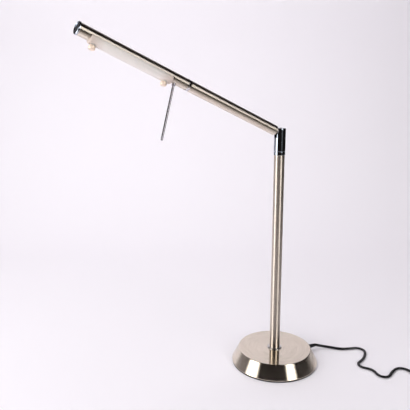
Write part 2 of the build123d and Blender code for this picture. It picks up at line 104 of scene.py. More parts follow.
def material(name):
    """A new material with an empty node tree and its output."""
    made = bpy.data.materials.new(name)
    made.use_nodes = True
    made.node_tree.nodes.clear()
    add(made.node_tree, "ShaderNodeOutputMaterial", name="Surface")
    return made, made.node_tree


def show(tree, shader):
    """Links a shader to the material's output."""
    tree.links.new(shader, tree.nodes["Surface"].inputs["Surface"])


def ranged(tree, value, low, high, first=0.0, last=1.0):
    """Maps a value between two limits to another two, and gives the result's socket."""
    limits = {"From Min": low, "From Max": high, "To Min": first, "To Max": last}
    return add(tree, "ShaderNodeMapRange", {"Value": value, **limits}).outputs["Result"]


def blend(tree, share, first, second):
    """Mixes two colours by a share, and gives the mixed colour's socket."""
    return add(tree, "ShaderNodeMix", {0: share, 6: first, 7: second}, data_type="RGBA").outputs[2]


def glow(tree, tone, strength=1.0):
    """Makes the whole material shine in one tone."""
    lit = add(tree, "ShaderNodeEmission", {"Color": tone, "Strength": strength})
    show(tree, lit.outputs["Emission"])


def put(name, mesh, finish):
    """A new object in the scene with one material."""
    piece = bpy.data.objects.new(name, mesh)
    scene.collection.objects.link(piece)
    mesh.materials.clear()
    mesh.materials.append(finish)
    return piece


def card(name, bm, finish):
    """Stands a card in the studio that only polished metal sees."""
    mesh = bpy.data.meshes.new(name)
    bm.to_mesh(mesh)
    piece = put(name, mesh, finish)
    piece.visible_camera = piece.visible_diffuse = False
    piece.visible_transmission = piece.visible_shadow = False


# Matt white paper: a faint lavender cast and a fine fibre.
# From behind it is clear, so that views from there see the lamp.
paper, tree = material("matt_white_paper")
where = add(tree, "ShaderNodeTexCoord").outputs["Object"]
fibre = add(tree, "ShaderNodeTexNoise", {"Vector": where, "Scale": 1 / (1.1 * MM), "Detail": 3.0})
dents = {"Height": fibre.outputs["Fac"], "Strength": 0.05, "Distance": 0.0002}
grain = add(tree, "ShaderNodeBump", dents)
sheet = add(
    tree,
    "ShaderNodeBsdfPrincipled",
    {
        "Base Color": colour("#f8f4fa"),
        "Roughness": 0.9,
        "Specular IOR Level": 0.1,
        "Normal": grain.outputs["Normal"],
    },
)
side = add(tree, "ShaderNodeNewGeometry")
clear = add(tree, "ShaderNodeBsdfTransparent")
one_sided = add(
    tree,
    "ShaderNodeMixShader",
    {0: side.outputs["Backfacing"], 1: sheet.outputs["BSDF"], 2: clear.outputs["BSDF"]},
)
show(tree, one_sided.outputs["Shader"])

bm = bmesh.new()
BEND_STEPS = 24
outline = [(PAPER_FRONT - PAPER_AHEAD, 0), (PAPER_BACK - PAPER_BEND, 0)]
for k in range(1, BEND_STEPS + 1):
    turn = pi / 2 * k / BEND_STEPS
    outline.append((PAPER_BACK - PAPER_BEND * (1 - sin(turn)), PAPER_BEND * (1 - cos(turn))))
outline.append((PAPER_BACK, PAPER_TOP))
left, right = (
    [bm.verts.new(AWAY * far + RIGHT * across + UP * up) for far, up in outline]
    for across in (-PAPER_HALF_WIDTH, PAPER_HALF_WIDTH)
)
for k in range(len(outline) - 1):
    bm.faces.new((left[k], right[k], right[k + 1], left[k + 1]))
mesh = bpy.data.meshes.new("paper_sweep")
bm.to_mesh(mesh)
mesh.shade_smooth()
put("paper_sweep", mesh, paper)

# The room's floor in front of the paper is brown and dims away from the lights.
# Its right side stays dark, and so does the wall behind that.
dim, tree = material("dim_brown_floor")
where = add(tree, "ShaderNodeTexCoord").outputs["Object"]
away = add(tree, "ShaderNodeVectorMath", {0: where, 1: RIGHT * -0.2}, operation="DISTANCE")
share = ranged(tree, away.outputs["Value"], 0.4, 1.2)
fall = add(tree, "ShaderNodeMath", {0: share, 1: 0.7}, operation="POWER")
glow(tree, blend(tree, fall.outputs["Value"], colour("#e6dcd2"), colour("#211a15")))
bm = bmesh.new()
corners = [(-ROOM_HALF_WIDTH, -0.45), (0, -0.45), (0.1, PAPER_FRONT), (0.55, PAPER_FRONT)]
corners += [(0.55, 0.3), (0.9, ROOM_BACK), (ROOM_HALF_WIDTH, ROOM_BACK)]
corners += [(ROOM_HALF_WIDTH, ROOM_FRONT), (-ROOM_HALF_WIDTH, ROOM_FRONT)]
bm.faces.new([bm.verts.new(RIGHT * across + AWAY * far + UP * 0.0005) for across, far in corners])
card("room_floor", bm, dim)
unlit, tree = material("unlit_cloth")
glow(tree, colour("#1c1817"))
bm = bmesh.new()
corners = [(0.62, 0.0), (ROOM_HALF_WIDTH, 0.0), (ROOM_HALF_WIDTH, 2.2), (0.62, 2.2)]
bm.faces.new([bm.verts.new(RIGHT * across + AWAY * ROOM_BACK + UP * up) for across, up in corners])
card("room_right", bm, unlit)

# The room's walls: nearly dark, with a dim grey wall to the left.
walls, tree = material("dim_room_walls")
where = add(tree, "ShaderNodeTexCoord").outputs["Object"]
look = add(tree, "ShaderNodeVectorMath", {0: where}, operation="NORMALIZE").outputs["Vector"]
GREY_WALL = radians(105)
leftward = -RIGHT * sin(GREY_WALL) - AWAY * cos(GREY_WALL)
toward = add(tree, "ShaderNodeVectorMath", {0: look, 1: leftward}, operation="DOT_PRODUCT")
share = ranged(tree, toward.outputs["Value"], 0.7, 0.95)
glow(tree, blend(tree, share, colour("#1c1817"), colour("#746f71")))
bm = bmesh.new()
bmesh.ops.create_uvsphere(bm, u_segments=48, v_segments=24, radius=ROOM_RADIUS)
card("room_walls", bm, walls)

# Beyond the paper the camera sees the same pale tone.
# The paper itself takes only a little dim light from all round.
room = bpy.data.worlds.new("studio_room")
room.use_nodes = True
tree = room.node_tree
tree.nodes.clear()
ray = add(tree, "ShaderNodeLightPath")
shiny = add(
    tree,
    "ShaderNodeMath",
    {0: ray.outputs["Is Glossy Ray"], 1: ray.outputs["Is Transmission Ray"]},
    operation="MAXIMUM",
)
seen = add(
    tree,
    "ShaderNodeMath",
    {0: ray.outputs["Is Camera Ray"], 1: shiny.outputs["Value"]},
    operation="MAXIMUM",
)
dusk = add(tree, "ShaderNodeBackground", {"Color": colour("#474243"), "Strength": 1.0})
pale = add(tree, "ShaderNodeBackground", {"Color": colour("#f4f1f6"), "Strength": 1.0})
either = add(
    tree,
    "ShaderNodeMixShader",
    {0: seen.outputs["Value"], 1: dusk.outputs["Background"], 2: pale.outputs["Background"]},
)
add(tree, "ShaderNodeOutputWorld", {"Surface": either.outputs["Shader"]})
scene.world = room


def soft_light(name, size, power, place, facing):
    """A soft light that shines along its facing. Reflections leave it out, and show its cloth."""
    lamp = bpy.data.lights.new(name, "AREA")
    lamp.shape = "RECTANGLE"
    lamp.size, lamp.size_y = size
    lamp.energy = power
    holder = bpy.data.objects.new(name, lamp)
    turned = (-facing).to_track_quat("Z", "Y").to_matrix().to_4x4()
    holder.matrix_world = Matrix.Translation(place) @ turned
    holder.visible_glossy = False
    scene.collection.objects.link(holder)


def bearing_from_camera(bearing):
    """The level direction at a bearing in degrees: 0 is towards the camera, plus is to its right."""
    return -AWAY * cos(radians(bearing)) + RIGHT * sin(radians(bearing))


def standing_light(name, bearing, distance, width, low, high, power):
    """A soft light that faces the lamp, between two heights."""
    direction = bearing_from_camera(bearing)
    soft_light(name, (width, high - low), power, direction * distance + UP * (low + high) / 2, -direction)


CLOTH_EVEN = 0.22
CLOTH_EDGE = 0.03


def light_cloth(name, bearing, distance, width, low, high, strength):
    """The lit cloth of a tall soft light, as metal mirrors it. It dims towards its sides."""
    direction = bearing_from_camera(bearing)
    across = UP.cross(direction)
    cloth, tree = material(name)
    where = add(tree, "ShaderNodeTexCoord").outputs["Object"]
    offset = add(tree, "ShaderNodeVectorMath", {0: where, 1: across}, operation="DOT_PRODUCT")
    side = add(tree, "ShaderNodeMath", {0: offset.outputs["Value"]}, operation="ABSOLUTE")
    fall = (width * CLOTH_EVEN, width / 2, strength, strength * CLOTH_EDGE)
    glow(tree, colour("#fffdfa"), ranged(tree, side.outputs["Value"], *fall))
    bm = bmesh.new()
    corners = [(-width / 2, low), (width / 2, low), (width / 2, high), (-width / 2, high)]
    centre = direction * distance
    bm.faces.new([bm.verts.new(centre + across * offset + UP * up) for offset, up in corners])
    card(name, bm, cloth)


LEFT_LIGHT = {"bearing": -67.5, "distance": 1.25, "low": -0.10, "high": 1.15}
standing_light("soft_light_left", **LEFT_LIGHT, width=0.70, power=5.0)
light_cloth("light_cloth_left", **LEFT_LIGHT, width=0.84, strength=4.2)
RIGHT_LIGHT = {"bearing": 40, "distance": 1.35, "low": 0.40}
standing_light("soft_light_right", **RIGHT_LIGHT, width=0.60, high=1.25, power=5.2)
light_cloth("light_cloth_right", **RIGHT_LIGHT, width=0.72, high=1.65, strength=4.9)
stand = {"bearing": RIGHT_LIGHT["bearing"], "distance": 1.36, "low": 0.0, "high": 0.42}
light_cloth("light_stand_right", **stand, width=0.56, strength=0.16)
standing_light("room_fill", bearing=-30, distance=2.8, width=3.2, low=0.5, high=2.7, power=65)
CEILING = UP * 2.1
soft_light("ceiling_fill", (3.0, 2.2), 35, AWAY * 0.97 - RIGHT * 0.5 + CEILING, -UP)
soft_light("ceiling_fill_front", (3.0, 2.6), 8, AWAY * -3.2 + CEILING, -UP)


# Base weight and transformer: a cast iron disc under the cover keeps the lamp standing, and a sealed
# transformer lies in its pocket. Neither shows once the base is closed.
def grained(name, code, other, gloss, grain, depth, also=None):
    """A finish with a grain, of a size in mm, that shifts its colour and gloss and dents it a little."""
    made, tree = material(name)
    where = add(tree, "ShaderNodeTexCoord").outputs["Object"]
    pattern = {"Vector": where, "Scale": 1 / (grain * MM), "Detail": 3.0}
    noise = add(tree, "ShaderNodeTexNoise", pattern).outputs["Fac"]
    share = ranged(tree, noise, 0.3, 0.7)
    dents = add(tree, "ShaderNodeBump", {"Height": noise, "Strength": depth, "Distance": 0.0002})
    skin = {
        "Base Color": blend(tree, share, colour(code), colour(other)),
        "Roughness": ranged(tree, share, 0.0, 1.0, *gloss),
        "Normal": dents.outputs["Normal"],
        **(also or {}),
    }
    show(tree, add(tree, "ShaderNodeBsdfPrincipled", skin).outputs["BSDF"])
    return made


def dress(finish, *names):
    """Gives the frame's own solids their finish, where they stay in view."""
    for name in names:
        nodes[name].data.materials.clear()
        nodes[name].data.materials.append(finish)


# Sand-cast grey iron: dull and pitted by the sand, with no polish.
cast_iron = grained("sand_cast_iron", "#4b4a49", "#393837", (0.6, 0.8), 2.5, 0.6, {"Metallic": 0.8})
dress(cast_iron, "base_weight")
# Moulded black plastic: an even tool grain under a soft sheen.
MOULDED = ("#17171a", "#1c1c20", (0.26, 0.36), 0.5, 0.1)
black_plastic = grained("moulded_black_plastic", *MOULDED)
dress(black_plastic, "transformer")


# Base cover: sheet steel spun to a low cone with a short upright lip, nickel plated and brushed round.
# It drops over the weight, and is held by the post's stem and the plate below.
COVER_RADIUS = 80.0
COVER_TOP = 27.5


def soften(outline):
    """Puts a short arc at each corner that has a rounding, in the outline's own units.

    A point just beyond each end of an arc keeps the shading of the straight side next to it even.
    """
    points = []
    for k, (r, z, *rounding) in enumerate(outline):
        if not rounding:
            points.append(Vector((r, z)))
            continue
        here = Vector((r, z))
        back = Vector(outline[k - 1][:2]) - here
        ahead = Vector(outline[(k + 1) % len(outline)][:2]) - here
        half = back.angle(ahead) / 2
        reach = rounding[0] / tan(half)
        start, end = (here + side.normalized() * reach for side in (back, ahead))
        middle = here + (start + end - 2 * here).normalized() * rounding[0] / sin(half)
        if back.length > 4 * reach:
            points.append(here + back.normalized() * reach * 1.3)
        for step in range(6):
            points.append(middle + (start.lerp(end, step / 5) - middle).normalized() * rounding[0])
        if ahead.length > 4 * reach:
            points.append(here + ahead.normalized() * reach * 1.3)
    return points


def finished(name, bm, finish, place):
    """Closes up a new mesh with its faces outwards and its corners crisp, and puts it in its place."""
    bmesh.ops.remove_doubles(bm, verts=bm.verts, dist=1e-7)
    bmesh.ops.recalc_face_normals(bm, faces=bm.faces)
    mesh = bpy.data.meshes.new(name)
    bm.to_mesh(mesh)
    mesh.transform(place)
    mesh.shade_smooth()
    mesh.set_sharp_from_angle(angle=radians(40))
    return put(name, mesh, finish)


def spin(name, outline, finish, place=Matrix(), ring=True, steps=144):
    """Spins an outline of (radius, height, rounding) points in mm. A ring's outline closes on itself.

    Its map "brushing" runs along the outline first, across the brush lines, and round the axis second.
    """
    points = soften(outline)
    along = [0.0]
    for a, b in zip(points, points[1:] + points[:1]):
        along.append(along[-1] + (b - a).length * MM)
    bm = bmesh.new()
    brushing = bm.loops.layers.uv.new("brushing")
    grid = []
    for k in range(steps):
        turn = tau * k / steps
        grid.append([bm.verts.new((r * MM * cos(turn), r * MM * sin(turn), z * MM)) for r, z in points])
    for k in range(steps):
        here, there = grid[k], grid[(k + 1) % steps]
        for i in range(len(points) if ring else len(points) - 1):
            j = (i + 1) % len(points)
            face = bm.faces.new((here[i], there[i], there[j], here[j]))
            for loop, u, v in zip(face.loops, (i, i, i + 1, i + 1), (k, k + 1, k + 1, k)):
                loop[brushing].uv = (along[u], 0.05 * v / steps)
    return finished(name, bm, finish, place)


def brushed_nickel(name, code, other, gloss, turn=(0, 0, 0), centre=(0, 0, 0)):
    """Nickel plate of two tones, brushed round an axis: its reflections spread along that axis."""
    made, tree = material(name)
    where = add(tree, "ShaderNodeTexCoord").outputs["Object"]
    turned = add(
        tree,
        "ShaderNodeMapping",
        {"Vector": where, "Location": centre, "Rotation": turn},
        vector_type="TEXTURE",
    )
    parts = add(tree, "ShaderNodeSeparateXYZ", {0: turned.outputs["Vector"]}).outputs
    flat = add(tree, "ShaderNodeCombineXYZ", {"X": parts["X"], "Y": parts["Y"]}).outputs["Vector"]
    radius = add(tree, "ShaderNodeVectorMath", {0: flat}, operation="LENGTH").outputs["Value"]
    bearing = add(tree, "ShaderNodeVectorMath", {0: flat}, operation="NORMALIZE").outputs["Vector"]
    profile = add(tree, "ShaderNodeMath", {0: radius, 1: parts["Z"]}, operation="SUBTRACT")
    # Real brush lines are about 0.1 mm apart; these are 1.2 mm apart, so that they show.
    spread = {0: profile.outputs["Value"], 1: 1 / (1.2 * MM)}
    lines = add(tree, "ShaderNodeMath", spread, operation="MULTIPLY")
    height = add(tree, "ShaderNodeCombineXYZ", {"Z": lines.outputs["Value"]}).outputs["Vector"]
    spot = add(
        tree,
        "ShaderNodeVectorMath",
        {0: bearing, 1: (2.0, 2.0, 2.0), 2: height},
        operation="MULTIPLY_ADD",
    ).outputs["Vector"]
    noise = add(tree, "ShaderNodeTexNoise", {"Vector": spot, "Scale": 1.0, "Detail": 4.0}).outputs["Fac"]
    share = ranged(tree, noise, 0.3, 0.7)
    bump = add(tree, "ShaderNodeBump", {"Height": noise, "Strength": 0.06, "Distance": 0.0003})
    across = add(tree, "ShaderNodeTangent", direction_type="UV_MAP", uv_map="brushing")
    plate = add(
        tree,
        "ShaderNodeBsdfPrincipled",
        {
            "Base Color": blend(tree, share, colour(code), colour(other)),
            "Metallic": 1.0,
            "Roughness": ranged(tree, share, 0.0, 1.0, gloss - 0.03, gloss + 0.04),
            "Anisotropic": 1.0,
            "Tangent": across.outputs["Tangent"],
            "Normal": bump.outputs["Normal"],
        },
    )
    show(tree, plate.outputs["BSDF"])
    return made


base_cover = spin(
    "base_cover_spun",
    [
        (5.1, COVER_TOP),
        (67.4, COVER_TOP, 1.4),
        (COVER_RADIUS, 3.6, 0.6),
        (COVER_RADIUS, 2.7, 0.2),
        (78.8, 2.7),
        (78.8, 3.4),
        (66.2, 26.3),
        (5.1, 26.3),
    ],
    brushed_nickel("brushed_nickel_base", "#e9dfd0", "#d4c9b8", 0.16),
    steps=224,
)
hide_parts("base_cover")
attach(base_cover, "stand")


# Underside: a zinc-plated sheet disc held by three pan-head screws, with a black foam rubber pad glued
# to it. The pad's edge shows as a dark line under the cover's lip.
# Bright zinc plate on steel: a soft silver with a faint spangle.
zinc = grained("bright_zinc_plate", "#bfc1c2", "#a9acae", (0.25, 0.42), 3.0, 0.05, {"Metallic": 1.0})
dress(zinc, "base_plate", "base_screws")
# Foam rubber: black, open-celled and quite dull.
foam = grained("black_foam_rubber", "#101010", "#191919", (0.85, 0.95), 1.0, 0.8)
dress(foam, "foot_pad")


# Post: a plain brushed tube on a threaded stem, with its foot sleeve, washer and nut inside the base.
# A thin bevelled collar hides where it meets the cover, and the flex runs up inside.
POST_RADIUS = 9.5
POST_BORE = 8.5
POST_TOP = 392.8
post = spin(
    "post_brushed_tube",
    [
        (POST_RADIUS, COVER_TOP),
        (POST_RADIUS, POST_TOP, 0.2),
        (POST_BORE, POST_TOP),
        (POST_BORE, COVER_TOP),
    ],
    brushed_nickel("brushed_nickel_post", "#eae0d4", "#dfd4c7", 0.38),
)
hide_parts("post_tube")
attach(post, "stand")
# Polished chrome plate: a hard bluish mirror, a little hazed by handling.
POLISHED = ((0.05, 0.10), 6.0, 0.01, {"Metallic": 1.0})
chrome = grained("polished_chrome_plate", "#c3cad6", "#bac2cf", *POLISHED)
# Satin chrome: the same plate over fine blasting, which blurs its reflections.
BLASTED = ((0.24, 0.32), 1.5, 0.04, {"Metallic": 1.0})
satin_chrome = grained("satin_chrome_plate", "#d6d4d2", "#cbc8c6", *BLASTED)
collar = spin(
    "post_collar_ring",
    [(9.55, COVER_TOP), (13.5, COVER_TOP), (13.5, 28.2, 0.3), (12.4, 29.3, 0.4), (9.55, 29.3)],
    satin_chrome,
)
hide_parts("post_collar")
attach(collar, "stand")
dress(zinc, "stem_tube", "stem_nut", "stem_washer", "post_foot")
# Soft black PVC: slightly shiny where it is handled, with a faint flow grain.
pvc = grained("soft_black_pvc", "#08080b", "#0f0f13", (0.16, 0.28), 1.2, 0.12)
dress(pvc, "post_cable")


# Swivel: a turned bush pressed into the post's end shows as a chrome ring, and the fork's stem turns
# in it. A white nylon washer and a round nut hold the stem from inside the post.
KNUCKLE_RADIUS = 10.2
swivel_ring = spin(
    "swivel_bush_ring",
    [
        (5.05, 366),
        (8.47, 366),
        (8.47, POST_TOP),
        (KNUCKLE_RADIUS, POST_TOP, 0.25),
        (KNUCKLE_RADIUS, 398.7, 0.4),
        (5.05, 398.7),
    ],
    chrome,
)
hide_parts("swivel_bush")
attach(swivel_ring, "stand")
# Natural nylon: milky, waxy white.
nylon = grained("natural_nylon", "#e9e6dc", "#dedacd", (0.4, 0.5), 2.0, 0.05)
dress(nylon, "swivel_washer")
dress(zinc, "swivel_nut")


# Fork: a chromed round bar, slotted to hold the arm's tongue and bored for the flex, that turns on the
# post. A countersunk screw, tapped into the near cheek, and two nylon washers pinch the tongue.
def as_mesh(piece):
    """A new mesh of what an object shows, with its modifiers or bevel worked in."""
    return bpy.data.meshes.new_from_object(piece.evaluated_get(bpy.context.evaluated_depsgraph_get()))


def plain_mesh(piece):
    """Works a piece's modifiers into its mesh, and keeps its corners crisp."""
    mesh = as_mesh(piece)
    piece.modifiers.clear()
    piece.data = mesh
    mesh.shade_smooth()
    mesh.set_sharp_from_angle(angle=radians(30))
    return mesh


def cut(piece, cutter):
    """Cuts one mesh out of another and clears the cutter away."""
    step = piece.modifiers.new("cut", "BOOLEAN")
    step.operation = "DIFFERENCE"
    step.solver = "EXACT"
    step.object = cutter
    mesh = plain_mesh(piece)
    bpy.data.objects.remove(cutter)
    while len(mesh.materials) > 1:
        mesh.materials.pop()


def block(centre, size, place=Matrix()):
    """A plain block to cut with, in mm."""
    bm = bmesh.new()
    bmesh.ops.create_cube(bm, size=1)
    fitted = Matrix.Translation(Vector(centre) * MM) @ Matrix.Diagonal((*(Vector(size) * MM), 1))
    return finished("cutter", bm, chrome, place @ fitted)


PIVOT = Vector(joints["arm_tilt"]["pos_m"])
SCREW_AXIS = Matrix.Translation(PIVOT) @ Matrix.Rotation(-pi / 2, 4, "X")
fork = spin(
    "knuckle_fork",
    [
        (3.2, 357),
        (5.0, 357, 0.5),
        (5.0, 399.0),
        (KNUCKLE_RADIUS, 399.0, 0.5),
        (KNUCKLE_RADIUS, 439.5, 1.5),
        (3.2, 439.5),
    ],
    chrome,
)
SLOT_WIDTH = 6.8
SLOT_FLOOR = 423
cut(fork, block((0, 0, SLOT_FLOOR + 20), (40, SLOT_WIDTH, 40)))
screw_hole = [(0, -9), (2.52, -9), (2.52, 7.4), (6.52, 11.4), (0, 11.4)]
cut(fork, spin("cutter", screw_hole, chrome, SCREW_AXIS, ring=False, steps=48))
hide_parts("knuckle")
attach(fork, "knuckle_body")
dress(chrome, "pivot_screw")
dress(nylon, "friction_washers")


# Arm: a brushed tube on a turned plug, whose flange is brushed with it and whose end is milled to a flat
# tongue with a round eye. At its far end a turned sleeve shows as a chrome ring, and the head rolls on it
# in a brass bush behind a clip.
SIDE = Vector((0, -1, 0))
OUT = Vector(joints["head_roll"]["axis"]).normalized()
DOWN = SIDE.cross(OUT)
ARM = Matrix.Translation(PIVOT) @ Matrix((DOWN, SIDE, OUT)).transposed().to_4x4()
TONGUE_HALF_WIDTH = 5.8
TONGUE_HALF_THICK = 2.8
TONGUE_ROOT = 14.2
TUBE_RADIUS = 8.5
TUBE_BORE = 7.7
TUBE_FIT = 7.67
ARM_START = 14.6
ARM_END = 205


def loft(name, loops, finish, place=Matrix(), ring=False):
    """Skins a row of like loops of points in mm, and closes its ends, or joins them into a ring."""
    bm = bmesh.new()
    rows = [[bm.verts.new(Vector(point) * MM) for point in loop] for loop in loops]
    for low, high in zip(rows, rows[1:] + (rows[:1] if ring else [])):
        for k in range(len(low)):
            j = (k + 1) % len(low)
            bm.faces.new((low[k], low[j], high[j], high[k]))
    if not ring:
        bm.faces.new(rows[0])
        bm.faces.new(rows[-1])
    return finished(name, bm, finish, place)


def ease(piece, width):
    """Breaks a piece's sharp edges, as tumbling or filing does. The width is in mm."""
    bevel = piece.modifiers.new("eased_edges", "BEVEL")
    bevel.width = width * MM
    bevel.segments = 2
    bevel.limit_method = "ANGLE"
    bevel.angle_limit = radians(40)
    plain_mesh(piece)


def rod(radius, start, end, *rounding):
    """The outline of a round rod between two places on its axis, with its far edge rounded, in mm."""
    return [(0, start), (radius, start), (radius, end, *rounding), (0, end)]


def drill(piece, radius, start, end, axis):
    """Drills a round hole between two places on an axis, in mm."""
    cut(piece, spin("cutter", rod(radius, start, end), chrome, axis, ring=False, steps=48))


def tube(start, end):
    """The outline of the arm's and the head's tube between two places along it, in mm."""
    return [(TUBE_RADIUS, start, 0.15), (TUBE_RADIUS, end, 0.15), (TUBE_BORE, end), (TUBE_BORE, start)]


turns = [pi + pi * k / 24 for k in range(25)]
eye = [(TONGUE_HALF_WIDTH * cos(turn), TONGUE_HALF_WIDTH * sin(turn)) for turn in turns]
outline = [(-TONGUE_HALF_WIDTH, TONGUE_ROOT)] + eye + [(TONGUE_HALF_WIDTH, TONGUE_ROOT)]
cheeks = [[(x, y, s) for x, s in outline] for y in (-TONGUE_HALF_THICK, TONGUE_HALF_THICK)]
tongue = loft("arm_plug_tongue", cheeks, chrome, ARM)
drill(tongue, 2.56, -9, 9, SCREW_AXIS)
ease(tongue, 0.3)
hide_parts("arm_plug")
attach(tongue, "arm")
slope = OUT.angle(UP)
nickel_arm = brushed_nickel("brushed_nickel_arm", "#f0e6da", "#e4d9cc", 0.38, (0, -slope, 0), PIVOT)
flange = spin(
    "arm_plug_flange",
    [
        (0, 13.6),
        (TUBE_RADIUS, 13.6, 0.3),
        (TUBE_RADIUS, ARM_START),
        (TUBE_FIT, ARM_START),
        (TUBE_FIT, 38),
        (0, 38),
    ],
    nickel_arm,
    ARM,
    ring=False,
)
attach(flange, "arm")
arm_tube = spin("arm_brushed_tube", tube(ARM_START, ARM_END), nickel_arm, ARM)
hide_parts("arm_tube")
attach(arm_tube, "arm")

# White chrome plate: as bright as the other chrome, without its blue.
white_chrome = grained("white_chrome_plate", "#d6d3d6", "#cdcacd", *POLISHED)
head_ring = spin(
    "head_sleeve_ring",
    [
        (3.4, 188),
        (TUBE_FIT, 188),
        (TUBE_FIT, ARM_END),
        (8.9, ARM_END, 0.4),
        (8.9, 210, 0.4),
        (6.5, 210),
        (6.5, 228.2),
        (3.4, 228.2),
    ],
    white_chrome,
    ARM,
)
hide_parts("head_sleeve")
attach(head_ring, "arm")
# Lacquered brass: a pale gold with fine turning marks, under a lacquer that is a little milky.
brass = grained("lacquered_pale_brass", "#f7e7d8", "#f0d9c4", (0.4, 0.52), 0.8, 0.05, {"Metallic": 0.6})
dress(brass, "head_bush")
dress(zinc, "head_clip")
dress(pvc, "arm_cable")


# Head: a tube of the same size with its underside cut away, lined by a bright sheet reflector, with a
# chromed cap in its outer end. Two capsule lamps in ceramic holders face each other behind the glass.
HEAD_ROLL = 11.0
HEAD_START = 210.3
HEAD_END = 387
HANDLE_PLACE = 231
OPENING_EDGE = 1.9
OPENING_MIDDLE = 303.5
OPENING_LENGTH = 135
HEAD = ARM @ Matrix.Rotation(radians(HEAD_ROLL), 4, "Z")


def across_head(place):
    """The axis that runs down across the head, at a place along it in mm."""
    return HEAD @ Matrix.Translation((0, 0, place * MM)) @ Matrix.Rotation(pi / 2, 4, "Y")


HANDLE = across_head(HANDLE_PLACE)
head_tube = spin("head_brushed_tube", tube(HEAD_START, HEAD_END), nickel_arm, HEAD)
cut(head_tube, block((OPENING_EDGE + 15, 0, OPENING_MIDDLE), (30, 40, OPENING_LENGTH), HEAD))
drill(head_tube, 1.8, 2, 20, HANDLE)
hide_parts("head_tube")
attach(head_tube, "head")
cap = spin(
    "end_cap_turned",
    [
        (0, 377),
        (TUBE_FIT, 377),
        (TUBE_FIT, HEAD_END),
        (9.2, HEAD_END, 0.2),
        (9.2, 388.7, 0.9),
        (8.4, 389.5, 0.9),
        (7.4, 389.5, 0.2),
        (7.0, 388.9),
        (0, 388.9),
    ],
    chrome,
    HEAD,
    ring=False,
)
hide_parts("end_cap")
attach(cap, "head")
# Bright-rolled aluminium: nearly white and softly mirror-like.
ROLLED = ((0.16, 0.28), 4.0, 0.03, {"Metallic": 1.0})
aluminium = grained("bright_rolled_aluminium", "#e6e7e8", "#dcdde0", *ROLLED)
dress(aluminium, "reflector")
# Steatite: dense off-white fired ceramic with a fine dry surface.
steatite = grained("fired_steatite", "#ece8df", "#e0dbd0", (0.5, 0.65), 0.8, 0.2)
dress(steatite, "lamp_sockets")
# Quartz glass: clear, with only a slight ripple from the flame.
QUARTZ = {"Transmission Weight": 1.0, "IOR": 1.46}
quartz = grained("clear_quartz_glass", "#ffffff", "#f6f8f8", (0.02, 0.05), 3.0, 0.03, QUARTZ)
dress(quartz, "capsule_lamps")


# Glass: a pressed trough, frosted with acid all over, that fills the cut-away with its rounded ends.
# It hangs on two zinc studs in the head's roof, and clear silicone washers keep the nuts off it.
GLASS_HALF_WIDTH = 8.3
GLASS_BOTTOM = 12.1
GLASS_WALL = 1.8
GLASS_START, GLASS_END = 236.4, 370.6
NUT_PLACES = (248.0, 363.5)


def trough(name, half_width, top, start, end, rounding, finish):
    """A solid with the glass's upright sides, half-round bottom and rounded ends, in mm."""
    middle = GLASS_BOTTOM - GLASS_HALF_WIDTH
    quarter = [pi / 2 * k / 6 for k in range(7)]
    rows = [(start + rounding * (1 - sin(t)), rounding * (1 - cos(t))) for t in reversed(quarter)]
    rows += [(end - rounding * (1 - sin(t)), rounding * (1 - cos(t))) for t in quarter]
    loops = []
    for s, inset in rows:
        r = half_width - inset
        bottom = [(middle + r * sin(pi * k / 32), -r * cos(pi * k / 32), s) for k in range(33)]
        loops.append([(top, -r, s)] + bottom + [(top, r, s)])
    return loft(name, loops, finish, HEAD)


# Acid-frosted glass: it scatters what passes, so it looks milky and warm against the bright sheet.
FROST = {
    "Transmission Weight": 0.12,
    "Subsurface Weight": 0.5,
    "Subsurface Scale": 0.004,
    "Subsurface Radius": (1.0, 0.95, 0.9),
    "IOR": 1.5,
}
frosted = grained("acid_frosted_glass", "#fdf3ec", "#f9eee6", (0.5, 0.6), 0.7, 0.1, FROST)
# Painted shade: less light reaches it near its closed ends, so its colour is painted a little darker and
# warmer there.
tree = frosted.node_tree
skin = tree.nodes["Principled BSDF"]
where = add(tree, "ShaderNodeTexCoord").outputs["Object"]
reach = add(tree, "ShaderNodeVectorMath", {0: where, 1: OUT}, operation="DOT_PRODUCT")
middle = PIVOT.dot(OUT) + OPENING_MIDDLE * MM
offset = add(tree, "ShaderNodeMath", {0: reach.outputs["Value"], 1: middle}, operation="SUBTRACT")
far = add(tree, "ShaderNodeMath", {0: offset.outputs["Value"]}, operation="ABSOLUTE")
# The share of painted shade, which grows towards the glass's ends.
ends = ranged(tree, far.outputs["Value"], 45 * MM, 66 * MM)
even = skin.inputs["Base Color"].links[0].from_socket
tree.links.new(blend(tree, ends, even, colour("#dac9be")), skin.inputs["Base Color"])
glass = trough("glass_frosted_trough", GLASS_HALF_WIDTH, 2.1, GLASS_START, GLASS_END, 3.0, frosted)
inside = (GLASS_HALF_WIDTH - GLASS_WALL, 0, GLASS_START + GLASS_WALL, GLASS_END - GLASS_WALL, 1.2)
cut(glass, trough("cutter", *inside, frosted))
for place in NUT_PLACES:
    drill(glass, 1.9, 5, 20, across_head(place))
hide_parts("glass_trough")
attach(glass, "head")
dress(zinc, "glass_studs")
# Clear silicone rubber: milky and soft, with a greasy sheen.
SILICONE = {"Transmission Weight": 0.5, "IOR": 1.41}
silicone = grained("clear_silicone_rubber", "#f2efe9", "#e9e5dd", (0.35, 0.45), 1.0, 0.05, SILICONE)
dress(silicone, "glass_washers")


# Thumb nuts: two small turned brass nuts, knurled and lacquered pale gold, that hold the glass up and
# are turned by hand. The knurl is a ring of fine ridges rolled into each rim.
def node_tree(name, sizes):
    """A new geometry tree with named sizes, and its input and output nodes."""
    tree = bpy.data.node_groups.new(name, "GeometryNodeTree")
    for size, kind in sizes.items():
        tree.interface.new_socket(size, in_out="INPUT", socket_type=kind)
    tree.interface.new_socket("Geometry", in_out="OUTPUT", socket_type="NodeSocketGeometry")
    return tree, add(tree, "NodeGroupInput"), add(tree, "NodeGroupOutput")


